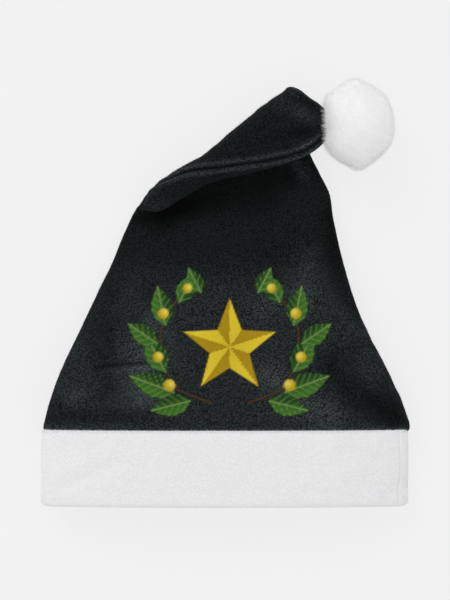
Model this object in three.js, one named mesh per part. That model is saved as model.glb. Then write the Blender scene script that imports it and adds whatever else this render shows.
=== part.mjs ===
// A fleece santa hat that lies on its back, with its tip folded over to the right.
// Millimetres, +Z up. X runs along the mouth, Y from the mouth to the tip.
// The origin is at the bottom centre of the whole hat.
import * as THREE from 'three';
import { mergeVertices } from 'three/addons/utils/BufferGeometryUtils.js';

// Fabric
const FLEECE = 2.5;                  // thickness of one layer
const SEWN_GAP = 0.36;               // air between pieces that are sewn to each other
const EDGE_FACTOR = 1.6;             // how much deeper a layer is at a side edge than on a flat
const BACK_FULLNESS = 1.25;          // above 1 the underside is flat in its middle

// Cuff, a doubled band that is folded at the mouth
const CUFF_HALF_WIDTH = 145;
const CUFF_MOUTH_Y = -169;
const SEAM_Y = -108.5;               // where the cuff is sewn to the crown
const CUFF_THICKNESS = 43;           // from the floor to the top of the band
const CUFF_EDGE_LEVEL = 16.5;        // height of the side edges
const CUFF_DEPTH = 6.6;              // both layers of the band together
const CUFF_LAYER_GAP = 1;
const CUFF_SEGMENTS = 56;

// Seam allowances inside the hat
const MOUTH_SEAM_WIDTH = 8;
const MOUTH_SEAM_OUTSIDE = 3.6;      // depths of its two faces below the crown's outer face
const MOUTH_SEAM_INSIDE = 6.6;
const MOUTH_SEAM_START = 0.4;         // above the line where the cuff is sewn on
const SIDE_SEAM_WIDTH = 7;
const SIDE_SEAM_HALF_THICKNESS = 2;
const SIDE_SEAM_SHARE = 0.065;       // or this share of the crown's thickness, where that is less
const SIDE_SEAM_INSET = 6;           // from the outer edge of the crown
const SIDE_SEAM_PLACES = [0.05, 0.9];
const SIDE_SEAM_STEPS = 16;

// Fold of the crown's tip
const FOLD_RADIUS = 14.5;
const FOLD_OUTWARD = new THREE.Vector3(-0.59, 0.807, 0);
const FOLD_RINGS = 8;
const FOLD_EDGE_DIP = 0.18;          // how much closer to the outer face the edges are on the fold
// How far the crest of the fold is bent outwards, by share of its length from the left
const FOLD_BEND = [
  [0, 0.5], [0.12, 1.2], [0.2, 0.9], [0.29, -0.8], [0.4, -2.9], [0.52, -2.2], [0.76, -1.2],
  [0.95, 0.1], [1, 0.2],
];
const BEND_STARTS = 0.8;             // place on the body where the bend sets in

// Pompom
const POMPOM_CENTRE = new THREE.Vector3(105.4, 132.4, 29.4);
const POMPOM_RADII = new THREE.Vector3(28.4, 36.6, 30.4);
const POMPOM_COVER = 3;
const FILLING_DEPTH = 4.2;           // below the pompom's outer face
// Its outline from above: degrees from +X and share of the radius
const POMPOM_OUTLINE = [
  [0, 1], [32, 0.99], [70, 0.93], [95, 1.01], [130, 1.02], [147, 1.1], [165, 1], [180, 0.95],
  [215, 1.02], [247, 0.95], [269, 1], [300, 0.905], [329, 0.975], [360, 1],
];
const NECK_RADII = { y: 14.6, z: 8.4 };
const COVER_RIM_SCALE = 1.05;        // size of the neck at the inner face of the cover
const FILLING_RIM_SCALE = 1.4;       // and round the dent in the filling
const DENT_GAP = 1.2;                // between the gathered tip and the filling
const POMPOM_ROWS = 14;
const POMPOM_COLUMNS = 28;

const ACROSS = 20;                   // facets across one crown panel
const SEAM_PROBE = 0.01;             // radians, to find how fast a ring's outline runs at a seam
const LEAST_SPEED = 2;               // millimetres a radian
const MERGE_DISTANCE = 1e-5;         // points closer than this are one point

const BLACK_FLEECE = { color: 0x1c2224, roughness: 0.95, metalness: 0 };
const WHITE_FLEECE = { color: 0xeceef0, roughness: 0.95, metalness: 0 };
const WHITE_PLUSH = { color: 0xf2f3f5, roughness: 1, metalness: 0 };
const WHITE_FIBRE = { color: 0xf6f6f4, roughness: 1, metalness: 0 };
const BLACK_SEAM = { color: 0x121516, roughness: 0.9, metalness: 0 };
const WHITE_THREAD = { color: 0xdfe0e0, roughness: 0.7, metalness: 0 };

// Side edges of the crown from the cuff seam to the fold, in plan
const LEFT_EDGE = plan([
  [-143, SEAM_Y], [-142.6, -101.5], [-131.6, -66], [-107.8, -15], [-90.2, 22.5], [-81, 45],
  [-73.5, 60.5], [-70, 67],
]);
const RIGHT_EDGE = plan([
  [144.6, SEAM_Y], [144.9, -102], [131.6, -66.5], [107.7, -17.5], [95, 22], [87.2, 56], [83.9, 78],
  [76.6, 93.4], [68, 111], [61.3, 130], [58, 149],
]);
// Where the side edges turn over the fold: the start, the outermost place and the end
const LEFT_TURN = [[-70, 67], [-64.7, 77.3], [-68.5, 65.5]];
const RIGHT_TURN = [[58, 149], [51.2, 164.6], [64, 157.6]];
// Edges of the flap, from the fold to the pompom
const FLAP_LOWER_EDGE = plan([
  [-68.5, 65.5], [-50, 64.3], [-34, 73.8], [-9, 87.5], [26, 96], [50, 102.4], [67.8, 110.3],
  [80.5, 120.8],
]);
const FLAP_UPPER_EDGE = plan([[64, 157.6], [69.5, 153.2], [75, 149.3], [80.2, 144]]);
// The gathered tip inside the pompom
const TIP_END = { x: 90, halfWidth: 5, level: 33, thickness: 7.5 };

// Tables of place and value, joined by a smooth curve
const BODY_THICKNESS = [[0, 35], [0.03, 40.5], [0.25, 40], [0.5, 31.5], [0.7, 21.5], [0.87, 14], [1, 13]];
const BODY_EDGE_SHARE = 0.38;
const FLAP_THICKNESS = [[0, 13], [0.5, 12.5], [1, 11]];
const FLAP_EDGE_SHARE = 0.5;
const FLAP_TOP_AT_LOWER_EDGE = [[0, 29], [0.25, 27], [0.7, 28.5], [1, 34.6]];
const FLAP_TOP_AT_UPPER_EDGE = [[0, 29], [0.5, 31], [1, 34.6]];
// How far the left side seam is turned onto the top of the flap, in radians
const SEAM_TURN_IN_FOLD = [[0, 0], [0.2, 0.05], [0.5, 0.55], [0.75, 0.83], [0.88, 1.14], [1, 1.31]];
const SEAM_TURN_IN_FLAP = [
  [0, 1.31], [0.08, 1.38], [0.17, 1.34], [0.28, 1.15], [0.4, 0.92], [0.5, 0.83], [0.7, 0.77],
  [0.85, 0.77], [1, 0.9],
];

const BODY_STATIONS = [
  0, 0.012, 0.03, 0.06, 0.11, 0.18, 0.26, 0.34, 0.42, 0.5, 0.58, 0.66, 0.74, 0.81, 0.87, 0.93, 1,
];
const FLAP_STATIONS = [0.08, 0.17, 0.28, 0.4, 0.5, 0.6, 0.72, 0.84, 0.93, 1];
const TIP_STATIONS = [0.4, 0.75, 1];

function plan(points) {
  return new THREE.SplineCurve(points.map(([x, y]) => new THREE.Vector2(x, y)));
}

// Value of a table at a place, on a curve through its rows
function tableValue(table, place) {
  const last = table.length - 2;
  let i = 0;
  while (i < last && place > table[i + 1][0]) i += 1;
  const slopeAt = (k) => {
    const before = table[Math.max(k - 1, 0)];
    const after = table[Math.min(k + 1, table.length - 1)];
    return (after[1] - before[1]) / (after[0] - before[0]);
  };
  const [x0, y0] = table[i];
  const [x1, y1] = table[i + 1];
  const width = x1 - x0;
  const t = (place - x0) / width;
  const startWeight = (1 + 2 * t) * (1 - t) ** 2;
  const tangents = t * (1 - t) ** 2 * slopeAt(i) - t * t * (1 - t) * slopeAt(i + 1);
  return startWeight * y0 + (1 - startWeight) * y1 + width * tangents;
}

// A closed body from four-cornered faces, with its faces turned outwards
function closedBody(name, faces, look) {
  const isEdge = (a, b) => a.distanceTo(b) > MERGE_DISTANCE;
  const triangles = [];
  for (const [a, b, c, d] of faces) {
    if (isEdge(a, b)) triangles.push([a, b, c]);
    if (isEdge(c, d) && isEdge(a, d)) triangles.push([a, c, d]);
  }
  const volume = triangles.reduce((sum, [a, b, c]) => sum + a.dot(b.clone().cross(c)), 0);
  const corners = triangles.flatMap((corner) => (volume > 0 ? corner : [...corner].reverse()));
  const geometry = mergeVertices(new THREE.BufferGeometry().setFromPoints(corners), MERGE_DISTANCE);
  geometry.computeVertexNormals();
  const mesh = new THREE.Mesh(geometry, new THREE.MeshStandardMaterial(look));
  mesh.name = name;
  return mesh;
}

// Faces between two grids of points, the outer and the inner side of a sheet
function sheetFaces(outer, inner, closedAcross) {
  const faces = [];
  const rows = outer.length;
  const columns = outer[0].length;
  const steps = closedAcross ? columns : columns - 1;
  for (let j = 0; j < rows - 1; j += 1) {
    for (let i = 0; i < steps; i += 1) {
      const k = (i + 1) % columns;
      faces.push([outer[j][i], outer[j][k], outer[j + 1][k], outer[j + 1][i]]);
      faces.push([inner[j][k], inner[j][i], inner[j + 1][i], inner[j + 1][k]]);
    }
    if (!closedAcross) {
      const end = columns - 1;
      faces.push([inner[j][0], outer[j][0], outer[j + 1][0], inner[j + 1][0]]);
      faces.push([outer[j][end], inner[j][end], inner[j + 1][end], outer[j + 1][end]]);
    }
  }
  for (const [j, turned] of [[0, false], [rows - 1, true]]) {
    for (let i = 0; i < steps; i += 1) {
      const k = (i + 1) % columns;
      const face = [inner[j][i], inner[j][k], outer[j][k], outer[j][i]];
      faces.push(turned ? face.reverse() : face);
    }
  }
  return faces;
}

// Faces of a closed outline that is carried round a closed loop
function ringFaces(outlines) {
  const faces = [];
  const count = outlines.length;
  for (let j = 0; j < count; j += 1) {
    const here = outlines[j];
    const next = outlines[(j + 1) % count];
    for (let i = 0; i < here.length; i += 1) {
      const k = (i + 1) % here.length;
      faces.push([here[i], here[k], next[k], next[i]]);
    }
  }
  return faces;
}

// A point of a flattened ring. Angle 0 is its right edge and a quarter turn its front.
// Depth is measured inwards from the outer face.
function ringPoint(ring, angle, depth) {
  const { left, right, inward, thickness, edgeLevel, bend = 0 } = ring;
  const halfWidth = left.distanceTo(right) / 2;
  const across = (Math.cos(angle) * (halfWidth - EDGE_FACTOR * depth)) / halfWidth;
  const rise = Math.sin(angle);
  const level = rise >= 0
    ? edgeLevel + (thickness - depth - edgeLevel) * rise
    : Math.max(depth, edgeLevel * (1 + BACK_FULLNESS * rise));
  const share = (1 + across) / 2;
  const point = left.clone().lerp(right, share).addScaledVector(inward, level);
  return point.addScaledVector(FOLD_OUTWARD, bend * tableValue(FOLD_BEND, share));
}

function bodyRing(place) {
  const left = LEFT_EDGE.getPointAt(place);
  const right = RIGHT_EDGE.getPointAt(place);
  const thickness = tableValue(BODY_THICKNESS, place);
  return {
    left: new THREE.Vector3(left.x, left.y, 0),
    right: new THREE.Vector3(right.x, right.y, 0),
    inward: new THREE.Vector3(0, 0, 1),
    thickness,
    edgeLevel: BODY_EDGE_SHARE * thickness,
    bend: THREE.MathUtils.smoothstep(place, BEND_STARTS, 1),
    seamTurn: 0,
  };
}

// A ring on the fold, from 0 where it leaves the floor to 1 where the flap starts
function foldRing(place) {
  const angle = Math.PI * place;
  const level = FOLD_RADIUS * (1 - Math.cos(angle));
  const turned = ([start, outermost, end]) => {
    const along = (1 - Math.cos(angle)) / 2;
    const coordinate = (i) => {
      const middle = (start[i] + end[i]) / 2;
      return start[i] + (end[i] - start[i]) * along + (outermost[i] - middle) * Math.sin(angle);
    };
    return new THREE.Vector3(coordinate(0), coordinate(1), level);
  };
  const thickness = BODY_THICKNESS.at(-1)[1];
  const inward = FOLD_OUTWARD.clone().multiplyScalar(-Math.sin(angle));
  inward.z = Math.cos(angle);
  const edgeShare = THREE.MathUtils.lerp(BODY_EDGE_SHARE, FLAP_EDGE_SHARE, place);
  return {
    left: turned(LEFT_TURN),
    right: turned(RIGHT_TURN),
    inward,
    thickness,
    edgeLevel: thickness * (edgeShare - FOLD_EDGE_DIP * Math.sin(angle)),
    bend: 1,
    seamTurn: tableValue(SEAM_TURN_IN_FOLD, place),
  };
}

function flapRing(place) {
  const left = FLAP_LOWER_EDGE.getPointAt(place);
  const right = FLAP_UPPER_EDGE.getPointAt(place);
  const thickness = tableValue(FLAP_THICKNESS, place);
  return {
    left: new THREE.Vector3(left.x, left.y, tableValue(FLAP_TOP_AT_LOWER_EDGE, place)),
    right: new THREE.Vector3(right.x, right.y, tableValue(FLAP_TOP_AT_UPPER_EDGE, place)),
    inward: new THREE.Vector3(0, 0, -1),
    thickness,
    edgeLevel: FLAP_EDGE_SHARE * thickness,
    bend: 1 - THREE.MathUtils.smoothstep(place, 0, 1),
    seamTurn: tableValue(SEAM_TURN_IN_FLAP, place),
  };
}

// The tip narrows inside the pompom
function tipRing(place) {
  const start = flapRing(1);
  const centreY = POMPOM_CENTRE.y;
  const thickness = THREE.MathUtils.lerp(start.thickness, TIP_END.thickness, place);
  const endPoint = (side) => new THREE.Vector3(TIP_END.x, centreY + side * TIP_END.halfWidth, TIP_END.level);
  return {
    ...start,
    left: start.left.clone().lerp(endPoint(-1), place),
    right: start.right.clone().lerp(endPoint(1), place),
    thickness,
    edgeLevel: FLAP_EDGE_SHARE * thickness,
  };
}

const foldPlaces = Array.from({ length: FOLD_RINGS }, (_, i) => (i + 1) / FOLD_RINGS);
const CROWN_RINGS = [
  ...BODY_STATIONS.map(bodyRing),
  ...foldPlaces.map(foldRing),
  ...FLAP_STATIONS.map(flapRing),
  ...TIP_STATIONS.map(tipRing),
];

// One panel of the crown, between its two side seams
function crownPanel(name, isFront) {
  const rowAt = (ring, depth) => {
    const leftSeam = Math.PI + ring.seamTurn;
    const [start, end] = isFront ? [leftSeam, 0] : [leftSeam, 2 * Math.PI];
    const edgeStep = SEAM_PROBE * Math.sign(end - start);
    const gapAngle = (seam, step) => {
      const speed = ringPoint(ring, seam, 0).distanceTo(ringPoint(ring, seam + step, 0)) / Math.abs(step);
      return (Math.sign(step) * SEWN_GAP) / 2 / Math.max(speed, LEAST_SPEED);
    };
    const from = start + gapAngle(start, edgeStep);
    const to = end + gapAngle(end, -edgeStep);
    return Array.from({ length: ACROSS + 1 }, (_, i) => {
      const angle = THREE.MathUtils.lerp(from, to, i / ACROSS);
      return ringPoint(ring, angle, depth);
    });
  };
  const outer = CROWN_RINGS.map((ring) => rowAt(ring, 0));
  const inner = CROWN_RINGS.map((ring) => rowAt(ring, FLEECE));
  return closedBody(name, sheetFaces(outer, inner, false), BLACK_FLEECE);
}

// The doubled band: out along the outer layer, round the mouth and back along the inner one
function cuff() {
  const top = SEAM_Y - SEWN_GAP;
  const mouth = CUFF_MOUTH_Y;
  const middle = CUFF_DEPTH / 2;
  const outerInside = (CUFF_DEPTH - CUFF_LAYER_GAP) / 2;
  const innerOutside = (CUFF_DEPTH + CUFF_LAYER_GAP) / 2;
  const profile = [
    [top, 2.4], [top - 1.2, 1.1], [top - 4, 0.2], [top - 10, 0], [mouth + 12, 0], [mouth + 4, 0.4],
    [mouth + 1, 1.4], [mouth, middle], [mouth + 1, CUFF_DEPTH - 1.4], [mouth + 4, CUFF_DEPTH - 0.4],
    [mouth + 12, CUFF_DEPTH], [top, CUFF_DEPTH], [top, innerOutside], [mouth + 6, innerOutside],
    [mouth + 6, outerInside], [top, outerInside],
  ];
  const outlines = Array.from({ length: CUFF_SEGMENTS }, (_, j) => {
    const angle = (2 * Math.PI * j) / CUFF_SEGMENTS;
    return profile.map(([y, depth]) => ringPoint({
      left: new THREE.Vector3(-CUFF_HALF_WIDTH, y, 0),
      right: new THREE.Vector3(CUFF_HALF_WIDTH, y, 0),
      inward: new THREE.Vector3(0, 0, 1),
      thickness: CUFF_THICKNESS,
      edgeLevel: CUFF_EDGE_LEVEL,
    }, angle, depth));
  });
  return closedBody('cuff', ringFaces(outlines), WHITE_FLEECE);
}

// The overlocked edges of the cuff and the crown, turned up inside the crown
function mouthSeam() {
  const sideLength = RIGHT_EDGE.getLength();
  const places = [MOUTH_SEAM_START, MOUTH_SEAM_WIDTH / 2, MOUTH_SEAM_WIDTH].map((way) => way / sideLength);
  const loop = (ring, depth) => Array.from({ length: CUFF_SEGMENTS }, (_, j) => (
    ringPoint(ring, (2 * Math.PI * j) / CUFF_SEGMENTS, depth)
  ));
  const outer = places.map((place) => loop(bodyRing(place), MOUTH_SEAM_OUTSIDE));
  const inner = places.map((place) => loop(bodyRing(place), MOUTH_SEAM_INSIDE));
  return closedBody('mouth_seam', sheetFaces(outer, inner, true), WHITE_THREAD);
}

// The overlocked edges of both panels, turned in along a side of the crown
function sideSeam(name, isLeft) {
  const grids = [1, -1].map((side) => Array.from({ length: SIDE_SEAM_STEPS + 1 }, (_, j) => {
    const ring = bodyRing(THREE.MathUtils.lerp(...SIDE_SEAM_PLACES, j / SIDE_SEAM_STEPS));
    const [edge, opposite] = isLeft ? [ring.left, ring.right] : [ring.right, ring.left];
    const inwards = opposite.clone().sub(edge).normalize();
    const halfThickness = Math.min(SIDE_SEAM_HALF_THICKNESS, SIDE_SEAM_SHARE * ring.thickness);
    return [SIDE_SEAM_INSET, SIDE_SEAM_INSET + SIDE_SEAM_WIDTH].map((distance) => (
      edge.clone().addScaledVector(inwards, distance).setZ(ring.edgeLevel + side * halfThickness)
    ));
  }));
  return closedBody(name, sheetFaces(grids[0], grids[1], false), BLACK_SEAM);
}

// A point of the pompom's surface, by its turn round the X axis and its way from the neck
function pompomPoint(turn, way, depth) {
  const direction = new THREE.Vector3(
    -Math.cos(way), Math.sin(way) * Math.cos(turn), Math.sin(way) * Math.sin(turn),
  );
  const degrees = THREE.MathUtils.radToDeg(Math.atan2(direction.y, direction.x) + 2 * Math.PI) % 360;
  const share = 1 + (tableValue(POMPOM_OUTLINE, degrees) - 1) * (1 - direction.z ** 2);
  const radii = POMPOM_RADII.clone().subScalar(depth).multiplyScalar(share);
  const point = direction.multiply(radii).add(POMPOM_CENTRE);
  point.z = Math.max(point.z, depth);
  return point;
}

// Turns and ways that make the pompom's grid, with its first row at the rim of the neck
function pompomGrid(depth, rimScale) {
  return Array.from({ length: POMPOM_ROWS + 1 }, (_, j) => (
    Array.from({ length: POMPOM_COLUMNS }, (_unused, i) => {
      const turn = (2 * Math.PI * i) / POMPOM_COLUMNS;
      const rimY = (rimScale * NECK_RADII.y * Math.cos(turn)) / POMPOM_RADII.y;
      const rimZ = (rimScale * NECK_RADII.z * Math.sin(turn)) / POMPOM_RADII.z;
      const rimWay = Math.asin(Math.hypot(rimY, rimZ));
      return pompomPoint(turn, THREE.MathUtils.lerp(rimWay, Math.PI, j / POMPOM_ROWS), depth);
    })
  ));
}

function pompom() {
  const faces = sheetFaces(pompomGrid(0, 1), pompomGrid(POMPOM_COVER, COVER_RIM_SCALE), true);
  return closedBody('pompom', faces, WHITE_PLUSH);
}

// Loose fibre inside the cover, dented where the tip of the crown is sewn in
function pompomFilling() {
  const grid = pompomGrid(FILLING_DEPTH, FILLING_RIM_SCALE);
  const dentX = TIP_END.x + DENT_GAP;
  const dent = [1, 0.5, 0].map((share) => grid[0].map((rim) => new THREE.Vector3(
    share === 1 ? rim.x : dentX,
    THREE.MathUtils.lerp(POMPOM_CENTRE.y, rim.y, share),
    THREE.MathUtils.lerp(POMPOM_CENTRE.z, rim.z, share),
  )));
  const faces = [];
  const rows = [...dent.reverse(), ...grid.slice(1)];
  for (let j = 0; j < rows.length - 1; j += 1) {
    for (let i = 0; i < POMPOM_COLUMNS; i += 1) {
      const k = (i + 1) % POMPOM_COLUMNS;
      faces.push([rows[j][i], rows[j][k], rows[j + 1][k], rows[j + 1][i]]);
    }
  }
  return closedBody('pompom_filling', faces, WHITE_FIBRE);
}

const hat = new THREE.Group();
hat.add(crownPanel('crown_front', true));
hat.add(crownPanel('crown_back', false));
hat.add(cuff());
hat.add(mouthSeam());
hat.add(sideSeam('side_seam_left', true));
hat.add(sideSeam('side_seam_right', false));
hat.add(pompom());
hat.add(pompomFilling());

export default hat;
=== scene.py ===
import math

import bpy
import numpy as np
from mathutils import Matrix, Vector


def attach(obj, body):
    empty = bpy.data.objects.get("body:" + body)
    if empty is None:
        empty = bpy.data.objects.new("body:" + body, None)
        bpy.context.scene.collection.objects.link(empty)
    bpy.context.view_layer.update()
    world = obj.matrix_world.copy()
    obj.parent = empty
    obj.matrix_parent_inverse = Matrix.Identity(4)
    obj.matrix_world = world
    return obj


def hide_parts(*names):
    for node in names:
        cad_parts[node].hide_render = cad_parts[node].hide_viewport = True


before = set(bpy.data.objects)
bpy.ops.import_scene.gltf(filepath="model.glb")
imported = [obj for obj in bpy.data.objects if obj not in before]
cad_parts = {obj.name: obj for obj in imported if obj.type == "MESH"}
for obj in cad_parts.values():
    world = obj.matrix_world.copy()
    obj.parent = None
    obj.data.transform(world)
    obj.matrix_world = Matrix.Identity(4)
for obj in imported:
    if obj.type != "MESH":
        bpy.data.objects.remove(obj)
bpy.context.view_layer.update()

MM = 0.001
rng = np.random.default_rng(12)

# Fabric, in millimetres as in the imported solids
FLEECE = 2.5
SEWN_GAP = 0.36
EDGE_FACTOR = 1.6
BACK_FULLNESS = 1.25

# Cuff
CUFF_HALF_WIDTH = 145.0
CUFF_MOUTH_Y = -167.9
SEAM_Y = -108.5
CUFF_THICKNESS = 43.0
CUFF_EDGE_LEVEL = 16.5
CUFF_DEPTH = 6.6
CUFF_LAYER_GAP = 1.0

# Crown
FOLD_RADIUS = 14.5
FOLD_OUTWARD = np.array([-0.59, 0.807, 0.0])
FOLD_EDGE_DIP = 0.18
FOLD_BEND = [
    (0, 0.5), (0.12, 1.2), (0.2, 0.9), (0.29, -0.8), (0.4, -2.9), (0.52, -2.2), (0.76, -1.2),
    (0.95, 0.1), (1, 0.2),
]
BEND_STARTS = 0.8
LEFT_EDGE = [
    (-143, SEAM_Y), (-142.6, -101.5), (-131.6, -66), (-107.8, -15), (-90.2, 22.5), (-81, 45),
    (-73.5, 60.5), (-70, 67),
]
RIGHT_EDGE = [
    (144.6, SEAM_Y), (144.9, -102), (131.6, -66.5), (107.7, -17.5), (95, 22), (87.2, 56),
    (83.9, 78), (76.6, 93.4), (68, 111), (61.3, 130), (58, 149),
]
LEFT_TURN = [(-70, 67), (-64.7, 77.3), (-68.5, 65.5)]
RIGHT_TURN = [(58, 149), (51.2, 164.6), (64, 157.6)]
FLAP_LOWER_EDGE = [
    (-68.5, 65.5), (-50, 64.3), (-34, 73.8), (-9, 87.5), (26, 96), (50, 102.4), (67.8, 110.3),
    (80.5, 120.8),
]
FLAP_UPPER_EDGE = [(64, 157.6), (69.5, 153.2), (75, 149.3), (80.2, 144)]
TIP_END = {"x": 90, "half_width": 5, "level": 33, "thickness": 7.5}
BODY_THICKNESS = [(0, 35), (0.03, 40.5), (0.25, 40), (0.5, 31.5), (0.7, 21.5), (0.87, 14), (1, 13)]
BODY_EDGE_SHARE = 0.38
FLAP_THICKNESS = [(0, 13), (0.5, 12.5), (1, 11)]
FLAP_EDGE_SHARE = 0.5
FLAP_TOP_AT_LOWER_EDGE = [(0, 29), (0.25, 27), (0.7, 28.5), (1, 34.6)]
FLAP_TOP_AT_UPPER_EDGE = [(0, 29), (0.5, 31), (1, 34.6)]
SEAM_TURN_IN_FOLD = [(0, 0), (0.2, 0.05), (0.5, 0.55), (0.75, 0.83), (0.88, 1.14), (1, 1.31)]
SEAM_TURN_IN_FLAP = [
    (0, 1.31), (0.08, 1.38), (0.17, 1.34), (0.28, 1.15), (0.4, 0.92), (0.5, 0.83), (0.7, 0.77),
    (0.85, 0.77), (1, 0.9),
]

# Pompom
POMPOM_CENTRE = np.array([105.4, 132.4, 29.4])
POMPOM_RADII = np.array([28.4, 36.6, 30.4])
POMPOM_OUTLINE = [
    (0, 1), (32, 0.99), (70, 0.93), (95, 1.01), (130, 1.02), (147, 1.1), (165, 1), (180, 0.95),
    (215, 1.02), (247, 0.95), (269, 1), (300, 0.905), (329, 0.975), (360, 1),
]
PILE_COUNT = 60000
PILE_LENGTH = (0.8, 3.6)
PILE_DEPTH = 1.3
PILE_ROOT = 0.3
PILE_HALF_WIDTH = 0.06
PILE_COMBED = 0.35
PILE_SCATTER = 0.25
LONGER_AT_NECK = 0.6

# Nap: how many fibres each piece has, their shortest and longest length, width and lean
FRONT_NAP = {"count": 52000, "length": (0.5, 1.3), "width": 0.16, "lean": 0.7}
BACK_NAP = {"count": 30000, "length": (0.5, 1.3), "width": 0.16, "lean": 0.7}
CUFF_NAP = {"count": 34000, "length": (0.5, 1.2), "width": 0.15, "lean": 0.7}
CUFF_EDGE_NAP = {"count": 7000, "length": (0.4, 1.5), "width": 0.15, "lean": 0.35}
FIBRE_ROOT = 0.15
LOWEST_FIBRE = 0.05

# Each sheet's inner face has one point for this many of its outer face
COARSE_STEP = 3


def table_value(table, place):
    """Value of a table at places, on a smooth curve through its rows."""
    x, y = np.array(table, float).T
    place = np.asarray(place, float)
    before = np.clip(np.arange(len(x)) - 1, 0, len(x) - 1)
    after = np.clip(np.arange(len(x)) + 1, 0, len(x) - 1)
    slope = (y[after] - y[before]) / (x[after] - x[before])
    i = np.clip(np.searchsorted(x, place, side="left") - 1, 0, len(x) - 2)
    width = x[i + 1] - x[i]
    t = (place - x[i]) / width
    start = (1 + 2 * t) * (1 - t) ** 2
    tangents = t * (1 - t) ** 2 * slope[i] - t * t * (1 - t) * slope[i + 1]
    return start * y[i] + (1 - start) * y[i + 1] + width * tangents


def spline_at(points, place):
    """Points at shares of the length of a Catmull-Rom spline through plan points."""
    p = np.array(points, float)
    p = np.vstack([p[0], p, p[-1]])
    steps = 40
    t = (np.arange(steps) / steps)[:, None]
    parts = []
    for a, b, c, d in zip(p, p[1:], p[2:], p[3:]):
        v0 = (c - a) / 2
        v1 = (d - b) / 2
        parts.append((2 * b - 2 * c + v0 + v1) * t**3 + (-3 * b + 3 * c - 2 * v0 - v1) * t**2 + v0 * t + b)
    line = np.vstack([*parts, p[-1]])
    length = np.concatenate([[0], np.cumsum(np.linalg.norm(np.diff(line, axis=0), axis=1))])
    at = np.asarray(place) * length[-1]
    return np.stack([np.interp(at, length, line[:, k]) for k in (0, 1)], axis=-1)


def with_level(plan, level):
    """Plan points lifted to a level."""
    return np.column_stack([plan, np.broadcast_to(level, len(plan))])


def smooth_step(value, low, high):
    share = np.clip((np.asarray(value, float) - low) / (high - low), 0, 1)
    return share * share * (3 - 2 * share)


def body_rings(place):
    thickness = table_value(BODY_THICKNESS, place)
    return {
        "left": with_level(spline_at(LEFT_EDGE, place), 0),
        "right": with_level(spline_at(RIGHT_EDGE, place), 0),
        "inward": np.tile([0.0, 0.0, 1.0], (len(place), 1)),
        "thickness": thickness,
        "edge": BODY_EDGE_SHARE * thickness,
        "bend": smooth_step(place, BEND_STARTS, 1),
        "turn": np.zeros(len(place)),
    }


def fold_rings(place):
    angle = np.pi * place
    level = FOLD_RADIUS * (1 - np.cos(angle))

    def turned(points):
        start, outermost, end = np.array(points, float)
        along = ((1 - np.cos(angle)) / 2)[:, None]
        plan = start + (end - start) * along + (outermost - (start + end) / 2) * np.sin(angle)[:, None]
        return with_level(plan, level)

    inward = -FOLD_OUTWARD * np.sin(angle)[:, None]
    inward[:, 2] = np.cos(angle)
    thickness = np.full(len(place), float(BODY_THICKNESS[-1][1]))
    share = BODY_EDGE_SHARE + (FLAP_EDGE_SHARE - BODY_EDGE_SHARE) * place - FOLD_EDGE_DIP * np.sin(angle)
    return {
        "left": turned(LEFT_TURN),
        "right": turned(RIGHT_TURN),
        "inward": inward,
        "thickness": thickness,
        "edge": thickness * share,
        "bend": np.ones(len(place)),
        "turn": table_value(SEAM_TURN_IN_FOLD, place),
    }


def flap_rings(place):
    thickness = table_value(FLAP_THICKNESS, place)
    return {
        "left": with_level(spline_at(FLAP_LOWER_EDGE, place), table_value(FLAP_TOP_AT_LOWER_EDGE, place)),
        "right": with_level(spline_at(FLAP_UPPER_EDGE, place), table_value(FLAP_TOP_AT_UPPER_EDGE, place)),
        "inward": np.tile([0.0, 0.0, -1.0], (len(place), 1)),
        "thickness": thickness,
        "edge": FLAP_EDGE_SHARE * thickness,
        "bend": 1 - smooth_step(place, 0, 1),
        "turn": table_value(SEAM_TURN_IN_FLAP, place),
    }


def tip_rings(place):
    start = flap_rings(np.ones(1))
    share = place[:, None]

    def narrowed(point, side):
        end = np.array([TIP_END["x"], POMPOM_CENTRE[1] + side * TIP_END["half_width"], TIP_END["level"]])
        return point + (end - point) * share

    thickness = start["thickness"][0] + (TIP_END["thickness"] - start["thickness"][0]) * place
    return {
        "left": narrowed(start["left"][0], -1),
        "right": narrowed(start["right"][0], 1),
        "inward": np.tile([0.0, 0.0, -1.0], (len(place), 1)),
        "thickness": thickness,
        "edge": FLAP_EDGE_SHARE * thickness,
        "bend": np.zeros(len(place)),
        "turn": np.full(len(place), start["turn"][0]),
    }


def joined_rings(*groups):
    return {key: np.concatenate([group[key] for group in groups]) for key in groups[0]}


def ring_points(rings, angles, depth):
    """Points of flattened rings: rows are rings, columns are angles, depth is inwards from the face."""
    left, right = rings["left"][:, None], rings["right"][:, None]
    half = np.linalg.norm(right - left, axis=2) / 2
    across = np.cos(angles) * (half - EDGE_FACTOR * depth) / half
    rise = np.sin(angles)
    thickness, edge = rings["thickness"][:, None], rings["edge"][:, None]
    front = edge + (thickness - depth - edge) * rise
    back = np.maximum(depth, edge * (1 + BACK_FULLNESS * rise))
    level = np.where(rise >= 0, front, back)
    share = (1 + across) / 2
    bend = rings["bend"][:, None] * table_value(FOLD_BEND, share)
    points = left + (right - left) * share[..., None] + rings["inward"][:, None] * level[..., None]
    return points + FOLD_OUTWARD * bend[..., None]


def grid_normals(points):
    """Unit normals of a grid of points, pointing to the side that its rows and columns turn to."""
    down = np.gradient(points, axis=0)
    over = np.gradient(points, axis=1)
    normal = np.cross(over, down)
    return normal / np.maximum(np.linalg.norm(normal, axis=2, keepdims=True), 1e-9)


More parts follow.
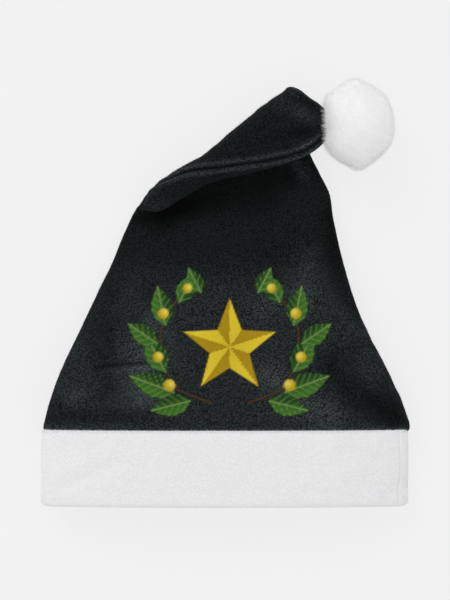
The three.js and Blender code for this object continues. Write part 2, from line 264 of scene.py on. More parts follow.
def smooth_noise(points, size, seed, octaves=3):
    """Soft random waves between about -1 and 1, with bumps of that size, in the points' own units."""
    waves = np.random.default_rng(seed)
    total = np.zeros(points.shape[:-1])
    weight = 0.0
    for octave in range(octaves):
        scale = size / 1.9**octave
        share = 0.55**octave
        for _ in range(7):
            direction = waves.normal(size=3)
            direction *= 2 * np.pi / (scale * np.linalg.norm(direction))
            total += share * np.sin(points @ direction + waves.uniform(0, 2 * np.pi))
        weight += share * 7**0.5
    return total / weight


def mesh_object(name, vertices, faces, layers=None):
    """A smooth mesh from points in millimetres, faces of three or four corners and named colour layers."""
    mesh = bpy.data.meshes.new(name)
    mesh.from_pydata((np.asarray(vertices) * MM).tolist(), [], faces)
    mesh.polygons.foreach_set("use_smooth", np.ones(len(mesh.polygons), bool))
    for layer_name, values in (layers or {}).items():
        layer = mesh.attributes.new(layer_name, "FLOAT_COLOR", "POINT")
        layer.data.foreach_set("color", np.asarray(values, np.float32).ravel())
    mesh.update()
    piece = bpy.data.objects.new(name, mesh)
    bpy.context.scene.collection.objects.link(piece)
    return piece


def grid_faces(rows, columns, offset=0, closed=False, flipped=False):
    """Four-cornered faces of a grid whose points are stored row by row."""
    steps = columns if closed else columns - 1
    j, i = np.meshgrid(np.arange(rows - 1), np.arange(steps), indexing="ij")
    k = (i + 1) % columns
    corners = [j * columns + i, j * columns + k, (j + 1) * columns + k, (j + 1) * columns + i]
    if flipped:
        corners.reverse()
    return (np.stack(corners, axis=-1).reshape(-1, 4) + offset).tolist()


def strip_faces(fine, coarse, flipped=False):
    """Faces between an edge of fine points and the same edge with coarse steps."""
    faces = []
    for n in range(len(coarse) - 1):
        run = fine[n * COARSE_STEP:(n + 1) * COARSE_STEP + 1]
        faces += [[coarse[n], b, a] for a, b in zip(run, run[1:])]
        faces.append([coarse[n], coarse[n + 1], run[-1]])
    return [face[::-1] for face in faces] if flipped else faces


def sheet_object(name, outer, inner, layers):
    """A closed sheet of cloth from its fine outer grid and an inner grid with fewer points."""
    rows, columns = outer.shape[:2]
    coarse_rows, coarse_columns = inner.shape[:2]
    offset = rows * columns
    fine = np.arange(offset).reshape(rows, columns)
    rough = np.arange(coarse_rows * coarse_columns).reshape(coarse_rows, coarse_columns) + offset
    faces = grid_faces(rows, columns)
    faces += grid_faces(coarse_rows, coarse_columns, offset, flipped=True)
    faces += strip_faces(fine[0], rough[0])
    faces += strip_faces(fine[-1], rough[-1], flipped=True)
    faces += strip_faces(fine[:, 0], rough[:, 0], flipped=True)
    faces += strip_faces(fine[:, -1], rough[:, -1])
    vertices = np.vstack([outer.reshape(-1, 3), inner.reshape(-1, 3)])
    # The inner face takes no print and none of the painted light and shade.
    inside = {"print": (0, 0, 0, 0), "nap_and_painted_shade": (1, 1, 1, 1)}
    layers = {
        key: np.vstack([values.reshape(-1, 4), np.tile(inside[key], (inner.size // 3, 1))])
        for key, values in layers.items()
    }
    return mesh_object(name, vertices, faces, layers)


def fibres(name, outer, normals, count, length, width, lean, layers=None, shares=None):
    """Short fibres of the nap, each a thin triangle that stands out of a grid of points."""
    rows, columns = outer.shape[:2]
    down = outer[1:, :-1] - outer[:-1, :-1]
    over = outer[:-1, 1:] - outer[:-1, :-1]
    cell = np.linalg.norm(np.cross(down, over), axis=2)
    if shares is not None:
        cell = cell * shares[:-1, :-1]
    pick = rng.choice(cell.size, size=count, p=cell.ravel() / cell.sum())
    j, i = np.divmod(pick, columns - 1)
    a, b = rng.random((2, count, 1))

    def mixed(grid):
        low = grid[j, i] * (1 - a) + grid[j, i + 1] * a
        high = grid[j + 1, i] * (1 - a) + grid[j + 1, i + 1] * a
        return low * (1 - b) + high * b

    root, up = mixed(outer), mixed(normals)
    way = up + lean * rng.normal(size=(count, 3))
    way /= np.linalg.norm(way, axis=1, keepdims=True)
    side = np.cross(way, rng.normal(size=(count, 3)))
    side /= np.linalg.norm(side, axis=1, keepdims=True)
    long = rng.uniform(*length, (count, 1))
    vertices = np.stack([
        root - up * FIBRE_ROOT - side * width / 2,
        root - up * FIBRE_ROOT + side * width / 2,
        root + way * long,
    ], axis=1).reshape(-1, 3)
    vertices[:, 2] = np.maximum(vertices[:, 2], LOWEST_FIBRE)
    # Fibres take the colour layers at their roots; on the crown these hold the print and the painted light
    # and shade.
    tints = {key: np.repeat(mixed(values), 3, axis=0) for key, values in (layers or {}).items()}
    return mesh_object(name, vertices, np.arange(3 * count).reshape(-1, 3).tolist(), tints)


# Beside a seam the cloth dips to the stitches and stands up a little further out.
# Its folds and waves flatten towards the seam.
SEAM_GROOVE = 1.3
SEAM_GROOVE_WIDTH = 1.3
SEAM_RIDGE = 1.1
SEAM_RIDGE_PLACE = 3.4
SEAM_RIDGE_WIDTH = 2.0
SEAM_ON_BODY = 0.35
SEAM_FLATTENS = 0.7
SEAM_FLATTENS_WIDTH = 6

# Waves of the crown's cloth: height, size, seed and octaves
CROWN_WAVES = [(0.7, 48, 3, 3), (0.25, 11, 4, 3), (0.10, 3.1, 5, 2)]

# Relief of the crown: soft ridges above zero and valleys below it.
# Each has its points in plan, its half width and its height.
BODY_RELIEF = [
    ([(-112, -57), (-82, -56), (-53, -54)], 3.5, -1.2),
    ([(-112, -51), (-82, -50), (-53, -48)], 4.5, 0.7),
    ([(87, -41), (104, -39), (121, -38)], 3.5, -1.0),
    ([(-66, -24), (-62, -52), (-66, -84)], 20, 2.2),
    ([(-128, -86), (-112, -72)], 8, 1.2),
    ([(61, 52), (73, 13), (83, -13), (97, -31)], 7, 2.0),
    ([(82, 60), (86, 30), (93, 2)], 7, -1.2),
    ([(82, -60), (110, -82), (138, -98)], 11, -2.0),
    ([(116, -66), (124, -80)], 9, 1.4),
    ([(-45, 66), (-18, 74), (14, 82), (46, 88), (66, 92)], 9, -2.4),
    ([(-40, 30), (0, 42), (40, 50)], 14, 1.2),
    ([(10, -70), (40, -84)], 16, 1.0),
]
# Where the cloth beside a side seam swells out over the cuff
EDGE_SWELL = [([(140, -84), (144.6, -101)], 8, 1.6)]
FLAP_RELIEF = [
    ([(77, 130), (55, 123), (30, 119)], 2.6, -1.9),
    ([(74, 138), (62, 132), (48, 131)], 3.0, 0.9),
    ([(50, 144), (66, 141)], 7, 1.2),
    ([(78, 126), (66, 121)], 2.0, -1.0),
    ([(-30, 98), (10, 115), (40, 130)], 9, 0.8),
    ([(-52, 72), (-44, 82)], 5, 1.0),
]

# Painted light and shade on the crown: lit patches, painted shade under the flap, in creases and towards
# the edges, and a painted lit strip above the cuff; lighter above zero and darker below it, in steps of
# twice the light.
# Each patch has its points in plan, its half width and its step.
BODY_PAINTED_LIGHT_AND_SHADE = [
    ([(85, 62), (86, 30), (96, 0), (106, -12)], 8, -1.2),
    ([(66, 28), (62, 8), (60, -8)], 12, 0.9),
    ([(-62, -24), (-60, -50), (-64, -78)], 17, 1.15),
    ([(-104, -8), (-92, -20)], 14, -0.7),
    ([(-92, -30), (-92, -75)], 8, -0.6),
    ([(-122, -86), (-116, -80)], 7, 0.7),
    ([(-140, -98), (-110, -96), (-60, -96)], 6, -0.7),
    ([(36, -64), (52, -84), (84, -96)], 13, 0.95),
    ([(36, -8), (28, -16)], 10, 0.6),
    ([(84, -58), (100, -84), (132, -98)], 10, -1.1),
    ([(83, -50), (99, -50)], 9, -0.4),
    ([(-142, -108), (142, -108)], 3.5, 2.2),
    ([(-101.5, -58.3), (-84, -56.3), (-59.6, -54.3)], 1.4, -1.4),
    ([(-92, -61.5), (-62, -58)], 2.5, 0.4),
    ([(88, -44), (118, -41)], 1.4, -0.7),
    ([(104, -72), (128, -92), (142, -104)], 8, -0.6),
    ([(-66, 58), (-50, 56), (-30, 66), (0, 80), (30, 86), (50, 92)], 10, -1.2),
    ([(-62, 60), (-46, 62), (-28, 72)], 5, -1.0),
    ([(-75, 52), (-62, 50)], 5, 0.5),
    ([(-58, 0), (-66, -14), (-72, -24)], 9, -0.8),
    ([(62, 94), (56, 104)], 7, 1.3),
    ([(118, -84), (134, -100)], 7, -0.7),
    ([(-46, 70), (20, 70), (36, 74)], 9, -0.8),
    ([(-112, -26), (-100, -45)], 8, -0.5),
    ([(-92, 12), (-88, 2)], 9, -0.6),
    ([(126, -72), (134, -86)], 6, -0.8),
    ([(-138, -84), (-122, -94)], 6, -0.6),
]
# Painted light and shade on the flap: lit wrinkles and shaded hollows, in the same steps.
FLAP_PAINTED_LIGHT_AND_SHADE = [
    ([(44, 150), (56, 146)], 9, 0.9),
    ([(62, 140), (72, 134)], 6, 1.2),
    ([(60, 127), (74, 124)], 5, -0.7),
    ([(64, 116), (74, 121)], 5, 0.6),
    ([(-48, 90), (-36, 98)], 6, 0.5),
    ([(-62, 68), (-48, 70)], 6, 1.0),
    ([(62, 154), (74, 147)], 5, -1.0),
]
# Painted shade: the crown's colour darkens by this many steps towards the fold and over the flap, between
# these two plan y places in mm.
SHADE_TOWARDS_FOLD = -1.3
SHADE_TOWARDS_FOLD_SPAN = (-5, 40)
# In the flap: painted shade on the seam line and painted highlights on the ridges beside it.
SEAM_LINE_PAINTED_SHADE = -2.2
SEAM_LINE_PAINTED_SHADE_WIDTH = 1.0
SEAM_RIDGE_PAINTED_HIGHLIGHT = 1.9
SEAM_RIDGE_PAINTED_HIGHLIGHT_PLACE = 3.0
SEAM_RIDGE_PAINTED_HIGHLIGHT_WIDTH = 2.2


def line_distance(points, line):
    """Distance from points to a line of straight pieces."""
    line = np.array(line, float)
    nearest = np.full(points.shape[:-1], np.inf)
    for a, b in zip(line, line[1:]):
        along = np.clip(((points - a) @ (b - a)) / ((b - a) @ (b - a)), 0, 1)[..., None]
        nearest = np.minimum(nearest, np.linalg.norm(points - a - along * (b - a), axis=-1))
    return nearest


def hump(distance, place, width):
    """A soft hump of height 1 at one distance from a line."""
    return np.exp(-(((distance - place) / width) ** 2))


def relief(points, features):
    """Sum of soft humps at points, by their distance in plan from each feature's line: the height of ridges
    and valleys, the steps of painted light and shade, and the print's stem.
    """
    plan = points[..., :2]
    total = np.zeros(points.shape[:-1])
    for line, width, height in features:
        total += height * hump(line_distance(plan, line), 0, width)
    return total


# Print on the front panel: a star between two sprays of leaves with round berries
STAR_CENTRE = (4.0, -42.0)
STAR_RADIUS = 40.0
STAR_WAIST = 0.43
STAR_LIGHT = (0.82, 0.62, 0.03)
STAR_DARK = (0.47, 0.30, 0.008)
LEAF_GREEN = (0.05, 0.16, 0.018)
LEAF_DARK = (0.012, 0.055, 0.008)
LEAF_VEIN = (0.23, 0.36, 0.10)
BERRY_LIGHT = (0.85, 0.70, 0.10)
BERRY_DARK = (0.50, 0.34, 0.01)
STEM_BROWN = (0.07, 0.035, 0.015)
# Each leaf has its base, its way in degrees, its length and its half width, mirrored to the left
LEAVES = [
    ((42, -78), 20, 40, 10), ((30, -84), -14, 34, 9), ((50, -62), 62, 34, 9.5), ((56, -40), 34, 30, 8.5),
    ((50, -26), 78, 34, 9), ((40, -8), 118, 28, 8), ((22, 0), 62, 24, 7),
]
BERRIES = [((47, -72), 5.2), ((56, -50), 4.6), ((52, -16), 4.8), ((33, 4), 4.2)]
STEM = [(14, -86), (40, -76), (54, -54), (54, -28), (42, -6), (20, 6)]


def mixed_colour(first, second, share):
    return np.array(first) + (np.array(second) - np.array(first)) * np.clip(share, 0, 1)[..., None]


def print_layer(points):
    """Colour and cover of the print at points of the front panel."""
    x = np.abs(points[..., 0] - STAR_CENTRE[0])
    y = points[..., 1]
    colour = np.zeros((*x.shape, 4))

    def lay(cover, shade):
        cover = np.clip(cover, 0, 1)[..., None]
        colour[..., :3] = colour[..., :3] * (1 - cover) + shade * cover
        colour[..., 3:] = np.maximum(colour[..., 3:], cover)

    stem = relief(np.stack([x, y], axis=-1), [(STEM, 1.3, 1.0)])
    lay(2.2 * (stem - 0.3), np.broadcast_to(STEM_BROWN, (*x.shape, 3)))
    for (bx, by), degrees, length, half_width in LEAVES:
        way = math.radians(degrees)
        along = ((x - bx) * math.cos(way) + (y - by) * math.sin(way)) / length
        across = (y - by) * math.cos(way) - (x - bx) * math.sin(way)
        inside = np.clip(along, 0, 1)
        outline = half_width * np.sin(np.pi * inside**0.8) * (1 + 0.05 * np.sin(34 * along))
        shade = mixed_colour(LEAF_GREEN, LEAF_DARK, 0.5 + across / half_width)
        side_vein = np.abs((along * length - 0.9 * np.abs(across)) % 5.5 - 2.75)
        vein = np.maximum(1 - np.abs(across) / 0.8, 0.5 * (1 - side_vein / 0.8))
        shade = shade + (np.array(LEAF_VEIN) - shade) * np.clip(vein, 0, 1)[..., None]
        lay((outline - np.abs(across)) * (along > 0) * (along < 1), shade)
    for (bx, by), radius in BERRIES:
        distance = np.hypot(x - bx, y - by)
        light = np.hypot(x - bx + 0.3 * radius, y - by - 0.3 * radius) / radius
        lay(radius - distance, mixed_colour(BERRY_LIGHT, BERRY_DARK, light))
    angle = np.arctan2(points[..., 0] - STAR_CENTRE[0], y - STAR_CENTRE[1])
    distance = np.hypot(x, y - STAR_CENTRE[1])
    sector = np.abs((angle + np.pi / 5) % (2 * np.pi / 5) - np.pi / 5)
    waist = STAR_WAIST * STAR_RADIUS
    tip = np.array([STAR_RADIUS, 0.0])
    notch = waist * np.array([math.cos(math.pi / 5), math.sin(math.pi / 5)])
    edge = (notch - tip) / np.linalg.norm(notch - tip)
    px, py = distance * np.cos(sector), distance * np.sin(sector)
    outside = (px - tip[0]) * edge[1] - (py - tip[1]) * edge[0]
    is_light = ((angle + np.pi / 5) % (2 * np.pi / 5)) > np.pi / 5
    shade = np.where(is_light[..., None], STAR_LIGHT, STAR_DARK)
    shade = shade * (0.8 + 0.2 * distance / STAR_RADIUS)[..., None]
    lay(-outside, shade)
    return colour


def panel_angles(rings, is_front, columns):
    """Angles from seam to seam for each ring, close together at the edges."""
    start = np.pi + rings["turn"]
    end = np.zeros(len(start)) if is_front else np.full(len(start), 2 * np.pi)
    even = np.linspace(0, 1, columns)
    share = 0.45 * even + 0.55 * np.arccos(1 - 2 * even) / np.pi
    half = np.linalg.norm(rings["right"] - rings["left"], axis=1) / 2
    speed = np.hypot(half * np.sin(start), rings["thickness"] * 0.5 * np.cos(start))
    gap = SEWN_GAP / 2 / np.maximum(speed, 2) * np.sign(end - start)
    return (start + gap)[:, None] + (end - start - 2 * gap)[:, None] * share


def crown_panel(name, is_front, rings, columns):
    """One crown panel with its relief, its tucked seams, the print and its painted light and shade."""
    rings = trimmed(rings)
    angles = panel_angles(rings, is_front, columns)
    outer = ring_points(rings, angles, 0)
    inner = ring_points(rings, angles, FLEECE)
    normals = grid_normals(outer)
    if np.mean(np.sum(normals * (outer - inner), axis=2)) < 0:
        normals = -normals
    on_top = normals[..., 2] > 0.2
    in_flap = rings["inward"][:, 2:3] < 0
    height = np.zeros(outer.shape[:2])
    if is_front:
        height += np.where(~in_flap, relief(outer, BODY_RELIEF), 0)
    height += np.where(in_flap & on_top, relief(outer, FLAP_RELIEF), 0)
    for wave, size, seed, octaves in CROWN_WAVES:
        height += wave * smooth_noise(outer, size, seed, octaves)
    share = np.where(in_flap, 1, SEAM_ON_BODY)
    seam_distances = [line_distance(outer, outer[::2, edge]) for edge in (0, -1)]
    for distance in seam_distances:
        height *= 1 - SEAM_FLATTENS * hump(distance, 0, SEAM_FLATTENS_WIDTH)
        height -= share * SEAM_GROOVE * hump(distance, 0, SEAM_GROOVE_WIDTH)
        height += share * SEAM_RIDGE * hump(distance, SEAM_RIDGE_PLACE, SEAM_RIDGE_WIDTH)
    height += relief(outer, EDGE_SWELL)
    clear_of_floor = np.clip(outer[..., 2:3] / 3, 0, 1)
    shift = normals * height[..., None] * clear_of_floor
    outer = outer + shift
    inner = inner + shift
    outer[..., 2] = np.maximum(outer[..., 2], 0.02)
    # Painted light and shade, as steps of twice the light: darker towards the fold and over the flap, the
    # listed patches on body and flap, and on the flap painted shade on the seam line with painted
    # highlights beside it.
    nap_and_painted_shade = SHADE_TOWARDS_FOLD * smooth_step(outer[..., 1], *SHADE_TOWARDS_FOLD_SPAN)
    if is_front:
        nap_and_painted_shade += np.where(in_flap, 0, relief(outer, BODY_PAINTED_LIGHT_AND_SHADE))
    nap_and_painted_shade += np.where(in_flap, relief(outer, FLAP_PAINTED_LIGHT_AND_SHADE), 0)
    for distance in seam_distances:
        seam = SEAM_RIDGE_PAINTED_HIGHLIGHT * hump(distance, SEAM_RIDGE_PAINTED_HIGHLIGHT_PLACE, SEAM_RIDGE_PAINTED_HIGHLIGHT_WIDTH)
        seam += SEAM_LINE_PAINTED_SHADE * hump(distance, 0, SEAM_LINE_PAINTED_SHADE_WIDTH)
        nap_and_painted_shade += np.where(in_flap, seam, 0)
    layers = {"print": np.zeros((*outer.shape[:2], 4)), "nap_and_painted_shade": np.repeat(2.0 ** nap_and_painted_shade[..., None], 4, axis=2)}
    if is_front:
        layers["print"] = print_layer(outer) * (~in_flap)[..., None]
    piece = sheet_object(name, outer, inner[::COARSE_STEP, ::COARSE_STEP], layers)
    return piece, outer, normals, layers


class Nodes:
    """A short way to write a material's node graph."""

    def __init__(self, name):
        self.material = bpy.data.materials.new(name)
        self.material.use_nodes = True
        self.tree = self.material.node_tree
        self.shader = self.tree.nodes["Principled BSDF"]

    def add(self, kind, **values):
        node = self.tree.nodes.new("ShaderNode" + kind)
        for key, value in values.items():
            if hasattr(node, key):
                setattr(node, key, value)
            else:
                node.inputs[key.replace("_", " ")].default_value = value
        return node

    def link(self, out, into):
        self.tree.links.new(out, into)

    def mix(self, share, first, second):
        node = self.tree.nodes.new("ShaderNodeMix")
        node.data_type = "RGBA"
        for value, name in ((share, "Factor_Float"), (first, "A_Color"), (second, "B_Color")):
            into = next(s for s in node.inputs if s.identifier == name)
            if isinstance(value, bpy.types.NodeSocket):
                self.link(value, into)
            else:
                into.default_value = value
        return next(s for s in node.outputs if s.identifier == "Result_Color")


def fleece(name, dark, light, sheen, bump, printed_and_shaded=False, nap_size=1.3):
    """Brushed fleece: fine clumps of pile, lighter and darker, with soft patches over them. On the crown it
    also takes the painted light and shade and the print from the mesh's colour layers.
    """
    nodes = Nodes(name)
    place = nodes.add("TexCoord").outputs["Object"]
    nap_and_painted_shade = nodes.add("TexNoise", Scale=1 / (nap_size * MM), Detail=3.0, Roughness=0.62)
    patch = nodes.add("TexNoise", Scale=1 / (26 * MM), Detail=2.0, Roughness=0.5)
    for texture in (nap_and_painted_shade, patch):
        nodes.link(place, texture.inputs["Vector"])
    ramp = nodes.add("ValToRGB")
    ramp.color_ramp.elements[0].position = 0.40
    ramp.color_ramp.elements[1].position = 0.64
    nodes.link(nap_and_painted_shade.outputs["Fac"], ramp.inputs["Fac"])
    mottled = nodes.mix(ramp.outputs["Color"], (*dark, 1), (*light, 1))
    middle = tuple((a + b) / 2 for a, b in zip(dark, light))
    soft = nodes.add("MapRange", From_Min=0.35, From_Max=0.75, To_Min=0.0, To_Max=0.35)
    nodes.link(patch.outputs["Fac"], soft.inputs["Value"])
    colour = nodes.mix(soft.outputs["Result"], mottled, (*middle, 1))
    if printed_and_shaded:
        # Painted light and shade: the colour is multiplied by the mesh's layer of painted light and shade.
        painted_light_and_shade = nodes.add("Attribute", attribute_name="nap_and_painted_shade")
        with_painted_shade = nodes.add("VectorMath", operation="MULTIPLY")
        nodes.link(colour, with_painted_shade.inputs[0])
        nodes.link(painted_light_and_shade.outputs["Vector"], with_painted_shade.inputs[1])
        colour = with_painted_shade.outputs["Vector"]
        layer = nodes.add("Attribute", attribute_name="print")
        inked = nodes.mix(0.14, layer.outputs["Color"], mottled)
        colour = nodes.mix(layer.outputs["Alpha"], colour, inked)
    nodes.link(colour, nodes.shader.inputs["Base Color"])
    relief_node = nodes.add("Bump", Strength=bump, Distance=0.7 * MM)
    nodes.link(nap_and_painted_shade.outputs["Fac"], relief_node.inputs["Height"])
    nodes.link(relief_node.outputs["Normal"], nodes.shader.inputs["Normal"])
    nodes.shader.inputs["Roughness"].default_value = 0.95
    nodes.shader.inputs["Specular IOR Level"].default_value = 0.08
    nodes.shader.inputs["Sheen Weight"].default_value = sheen
    nodes.shader.inputs["Sheen Roughness"].default_value = 0.5
    return nodes.material


def dressed(piece, material, slot_name, *nodes):
    """Gives a piece its material and its body, and hides the CAD nodes that it stands for. slot_name is not
    used.
    """
    piece.data.materials.append(material)
    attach(piece, "root")
    if nodes:
        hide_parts(*nodes)
    return piece


BLACK_FLEECE = fleece(
    "black_fleece", (0.0010, 0.0015, 0.0017), (0.033, 0.041, 0.044), 0.03, 1.0,
    printed_and_shaded=True, nap_size=1.25,
)
WHITE_FLEECE = fleece("white_fleece", (0.745, 0.745, 0.757), (0.835, 0.835, 0.845), 0.05, 0.4)
WHITE_PLUSH = fleece("white_plush", (0.84, 0.84, 0.845), (0.88, 0.88, 0.885), 0.05, 0.1, nap_size=3)
WHITE_PILE = fleece("white_pile", (0.86, 0.86, 0.865), (0.89, 0.89, 0.895), 0.05, 0.0, nap_size=3)
plush_inputs = WHITE_PLUSH.node_tree.nodes["Principled BSDF"].inputs
plush_inputs["Subsurface Weight"].default_value = 1.0
plush_inputs["Subsurface Radius"].default_value = (0.045, 0.045, 0.045)
plush_inputs["Subsurface Scale"].default_value = 1.0
WHITE_SEAM = fleece("white_thread", (0.62, 0.63, 0.64), (0.86, 0.86, 0.87), 0.1, 0.8, nap_size=0.9)
BLACK_SEAM = fleece("black_thread", (0.008, 0.009, 0.01), (0.05, 0.055, 0.058), 0.1, 0.8, nap_size=0.9)


def finer_where(start, end, steps_outside, steps_inside, low, high):
    """Places from start to end with smaller steps between low and high."""
    before = np.linspace(start, low, steps_outside[0], endpoint=False)
    within = np.linspace(low, high, steps_inside, endpoint=False)
    after = np.linspace(high, end, steps_outside[1])
    return np.concatenate([before, within, after])


def crown():
    """Both crown panels and the nap that stands out of them."""
    front_rings = joined_rings(
        body_rings(finer_where(0, 1, (14, 72), 140, 0.03, 0.55)),
        fold_rings(np.linspace(0, 1, 25)[1:]),
        flap_rings(np.linspace(0, 1, 76)[1:]),
        tip_rings(np.linspace(0, 1, 11)[1:]),
    )
    back_rings = joined_rings(
        body_rings(np.linspace(0, 1, 132)),
        fold_rings(np.linspace(0, 1, 29)[1:]),
        flap_rings(np.linspace(0, 1, 91)[1:]),
        tip_rings(np.linspace(0, 1, 12)[1:]),
    )
    front, outer, normals, layers = crown_panel("crown_front_panel", True, front_rings, 241)
    dressed(front, BLACK_FLEECE, "black_fleece", "crown_front")
    nap_and_painted_shade = fibres("front_nap", outer, normals, **FRONT_NAP, layers=layers)
    dressed(nap_and_painted_shade, BLACK_FLEECE, "black_fleece")
    back, outer, normals, layers = crown_panel("crown_back_panel", False, back_rings, 181)
    dressed(back, BLACK_FLEECE, "black_fleece", "crown_back")
    off_floor = outer[..., 2] > 2
    nap_and_painted_shade = fibres("back_nap", outer, normals, **BACK_NAP, layers=layers, shares=off_floor)
    dressed(nap_and_painted_shade, BLACK_FLEECE, "black_fleece")
    return front, back


def trimmed(rings):
    """The rings without the few near the cuff that would leave a coarse step unfilled."""
    surplus = (len(rings["turn"]) - 1) % COARSE_STEP
    keep = np.ones(len(rings["turn"]), bool)
    keep[5:5 + surplus] = False
    return {key: value[keep] for key, value in rings.items()}


# Relief of the cuff, in plan
CUFF_RELIEF = [
    ([(-121, -151), (-100, -141), (-83, -132)], 5, -1.1),
    ([(-128, -143), (-108, -130)], 6, 0.7),
    ([(138, -111), (139.5, -140), (138, -166)], 1.2, -0.9),
    ([(128, -160), (142, -150)], 6, -1.2),
    ([(40, -150), (90, -146)], 10, 0.6),
]


def cuff():
    """The doubled band: out along the outer layer, round the mouth and back along the inner one."""
    top = SEAM_Y - SEWN_GAP
    mouth = CUFF_MOUTH_Y
    layer = (CUFF_DEPTH - CUFF_LAYER_GAP) / 2
    outer_wall = [(top, 2.6), (top + 1.2, 1.8), (top + 0.9, 0.7), (top - 1.5, 0.2), (top - 5, 0.05)]
    outer_wall += [(y, 0) for y in np.linspace(top - 8, mouth + 8, 26)]
    bend = [
        (mouth + 4.5 - 4.5 * math.sin(a), CUFF_DEPTH / 2 * (1 - math.cos(a)))
        for a in np.linspace(0.25, math.pi - 0.25, 12)
    ]
    inner_wall = [(y, CUFF_DEPTH) for y in np.linspace(mouth + 8, top, 20)]
    between = [(top, CUFF_DEPTH - layer), (mouth + 6, CUFF_DEPTH - layer), (mouth + 6, layer), (top, layer)]
    profile = outer_wall + bend + inner_wall + between
    segments = 420
    angles = 2 * np.pi * np.arange(segments) / segments
    angles = angles - 0.32 * np.sin(2 * angles)
    rows = []
    for y, depth in profile:
        rings = {
            "left": np.array([[-CUFF_HALF_WIDTH, y, 0.0]]),
            "right": np.array([[CUFF_HALF_WIDTH, y, 0.0]]),
            "inward": np.array([[0.0, 0.0, 1.0]]),
            "thickness": np.array([CUFF_THICKNESS]),
            "edge": np.array([CUFF_EDGE_LEVEL]),
            "bend": np.zeros(1),
        }
        rows.append(ring_points(rings, angles[None, :], depth)[0])
    grid = np.array(rows)
    depth = np.array([d for _, d in profile])[:, None]
    centre = np.stack([0.75 * grid[..., 0], grid[..., 1], np.full(grid.shape[:2], 19.0)], axis=-1)
    outward = grid - centre
    outward[..., 0] *= (CUFF_THICKNESS / (2 * CUFF_HALF_WIDTH)) ** 0.5
    outward /= np.linalg.norm(outward, axis=2, keepdims=True)
    height = np.where(grid[..., 2] > 15, relief(grid, CUFF_RELIEF), 0)
    height = height + 0.5 * smooth_noise(grid, 40, 8) + 0.18 * smooth_noise(grid, 9, 9)
    height += 0.25 * smooth_noise(grid * [1, 0.2, 1], 14, 10) * np.exp(-((grid[..., 1] - top) / 9) ** 2)
    height *= np.clip(grid[..., 2] / 6, 0, 1) * (depth < CUFF_DEPTH - 0.01)
    grid = grid + outward * height[..., None]
    faces = grid_faces(len(profile), segments, closed=True, flipped=True)
    last = (len(profile) - 1) * segments
    faces += [[last + (i + 1) % segments, last + i, i, (i + 1) % segments][::-1] for i in range(segments)]
    piece = mesh_object("cuff_band", grid.reshape(-1, 3), faces)
    dressed(piece, WHITE_FLEECE, "white_fleece", "cuff")
    shown = len(outer_wall) + len(bend)
    closed = np.concatenate([grid[:shown], grid[:shown, :1]], axis=1)
    closed_out = np.concatenate([outward[:shown], outward[:shown, :1]], axis=1)
    nap_and_painted_shade = fibres("cuff_nap", closed, closed_out, **CUFF_NAP, shares=closed[..., 2] > 1.5)
    dressed(nap_and_painted_shade, WHITE_FLEECE, "white_fleece")
    edge = closed[1:4]
    upward = np.broadcast_to([0.0, 0.94, 0.34], edge.shape)
    edge_nap = fibres("cuff_edge_nap", edge, upward, **CUFF_EDGE_NAP, shares=edge[..., 2] > 2)
    dressed(edge_nap, WHITE_FLEECE, "white_fleece")
    return piece


def pompom_surface(direction, depth):
    """Points of the pompom in directions from its centre, lumpy as gathered plush is."""
    degrees = np.degrees(np.arctan2(direction[..., 1], direction[..., 0])) % 360
    outline = (table_value(POMPOM_OUTLINE, degrees) - 1) * (1 - direction[..., 2] ** 2)
    lumps = 0.016 * smooth_noise(direction * 30, 26, 21, 2)
    lumps = lumps + 0.008 * smooth_noise(direction * 30, 7, 22, 1)
    radii = (POMPOM_RADII - depth) * (1 + outline + lumps)[..., None]
    points = direction * radii + POMPOM_CENTRE
    points[..., 2] = np.maximum(points[..., 2], 0.4 + depth)
    return points


def pompom():
    """The pompom: a lumpy core under thousands of small tufts."""
    rows, columns = 61, 120
    way = np.linspace(0, np.pi, rows)[:, None]
    turn = (2 * np.pi * np.arange(columns) / columns)[None, :]
    direction = np.stack([
        -np.cos(way) * np.ones_like(turn), np.sin(way) * np.cos(turn), np.sin(way) * np.sin(turn),
    ], axis=-1)
    grid = pompom_surface(direction, PILE_DEPTH)
    grid[0] = grid[0].mean(axis=0)
    grid[-1] = grid[-1].mean(axis=0)
    core = mesh_object("pompom_cover", grid.reshape(-1, 3), grid_faces(rows, columns, closed=True))
    dressed(core, WHITE_PLUSH, "white_plush", "pompom", "pompom_filling")
    away = rng.normal(size=(PILE_COUNT, 3))
    away /= np.linalg.norm(away, axis=1, keepdims=True)
    root = pompom_surface(away, PILE_DEPTH + PILE_ROOT)
    combed = np.stack([smooth_noise(root, 9, seed, 2) for seed in (31, 32, 33)], axis=1)
    way = away / POMPOM_RADII
    way /= np.linalg.norm(way, axis=1, keepdims=True)
    way = way + PILE_COMBED * combed + PILE_SCATTER * rng.normal(size=(PILE_COUNT, 3))
    way /= np.linalg.norm(way, axis=1, keepdims=True)
    side = np.cross(way, rng.normal(size=(PILE_COUNT, 3)))
    side *= PILE_HALF_WIDTH / np.linalg.norm(side, axis=1, keepdims=True)
    at_neck = smooth_step(-away[:, :1], 0.6, 0.9)
    long = rng.uniform(*PILE_LENGTH, (PILE_COUNT, 1)) * (1 + LONGER_AT_NECK * at_neck)
    vertices = np.stack([root - side, root + side, root + way * long], axis=1).reshape(-1, 3)
    vertices[:, 2] = np.maximum(vertices[:, 2], LOWEST_FIBRE)
    tufts = mesh_object("pompom_pile", vertices, np.arange(len(vertices)).reshape(-1, 3).tolist())
    dressed(tufts, WHITE_PILE, "white_plush")
    return core


def seams():
    """The overlocked edges inside the hat keep their solids and get a stitched finish."""
    for node in ("side_seam_left", "side_seam_right"):
        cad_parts[node].data.materials.clear()
        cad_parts[node].data.materials.append(BLACK_SEAM)
    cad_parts["mouth_seam"].data.materials.clear()
    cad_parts["mouth_seam"].data.materials.append(WHITE_SEAM)


# Camera above the hat, where the photograph is taken from
FRAME_CENTRE = (0.4, -5.3)
FRAME_HEIGHT = 474.0
SILHOUETTE_LEVEL = 16.0
CAMERA_DISTANCE = 2400.0


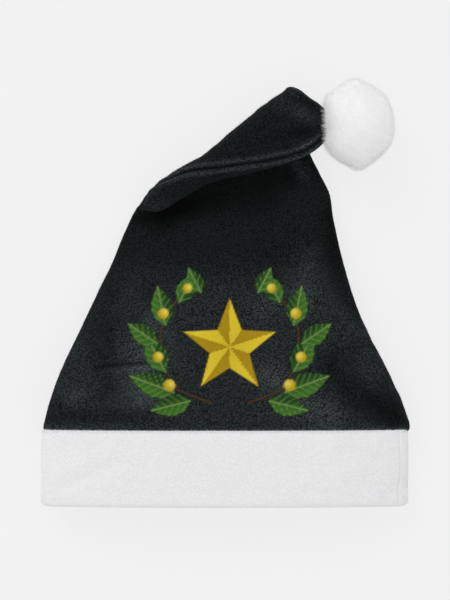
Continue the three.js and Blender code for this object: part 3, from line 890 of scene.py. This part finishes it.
def camera():
    data = bpy.data.cameras.new("camera")
    data.sensor_width = 36
    data.lens = data.sensor_width * CAMERA_DISTANCE / FRAME_HEIGHT
    data.clip_end = 20
    view = bpy.data.objects.new("camera", data)
    view.location = np.array([*FRAME_CENTRE, SILHOUETTE_LEVEL + CAMERA_DISTANCE]) * MM
    bpy.context.scene.collection.objects.link(view)
    bpy.context.scene.camera = view


# Light: a wide soft lamp from the top left of the picture, an even sky and a floor that shines a little
LAMP_WAY = (-0.42, 0.62, 0.66)
LAMP_STRENGTH = 0.7
LAMP_WIDTH = math.radians(34)
SKY_STRENGTH = 0.88
FLOOR_SHINE = 0.765
FLOOR_GREY = 0.12
FLOOR_LEVEL = -0.4
FLOOR_HALF_WIDTH = 4000


def studio():
    """A pale floor that takes only faint shadows, under soft light."""
    reach = FLOOR_HALF_WIDTH
    corners = [(-reach, -reach), (reach, -reach), (reach, reach), (-reach, reach)]
    floor = mesh_object("floor", with_level(corners, FLOOR_LEVEL), [[0, 1, 2, 3]])
    paint = bpy.data.materials.new("floor")
    paint.use_nodes = True
    shader = paint.node_tree.nodes["Principled BSDF"]
    shader.inputs["Base Color"].default_value = (FLOOR_GREY, FLOOR_GREY, FLOOR_GREY, 1)
    shader.inputs["Roughness"].default_value = 1
    shader.inputs["Specular IOR Level"].default_value = 0
    shader.inputs["Emission Color"].default_value = (1, 1, 1, 1)
    shader.inputs["Emission Strength"].default_value = FLOOR_SHINE
    floor.data.materials.append(paint)
    sun = bpy.data.lights.new("lamp", "SUN")
    sun.energy = LAMP_STRENGTH
    sun.angle = LAMP_WIDTH
    lamp = bpy.data.objects.new("lamp", sun)
    lamp.rotation_euler = Vector(LAMP_WAY).to_track_quat("Z", "Y").to_euler()
    bpy.context.scene.collection.objects.link(lamp)
    world = bpy.data.worlds.new("sky")
    world.use_nodes = True
    world.node_tree.nodes["Background"].inputs["Color"].default_value = (1, 1, 1, 1)
    world.node_tree.nodes["Background"].inputs["Strength"].default_value = SKY_STRENGTH
    bpy.context.scene.world = world
    bpy.context.scene.view_settings.view_transform = "Standard"


camera()
studio()
front_panel, back_panel = crown()
cuff_band = cuff()
pompom_cover = pompom()
seams()
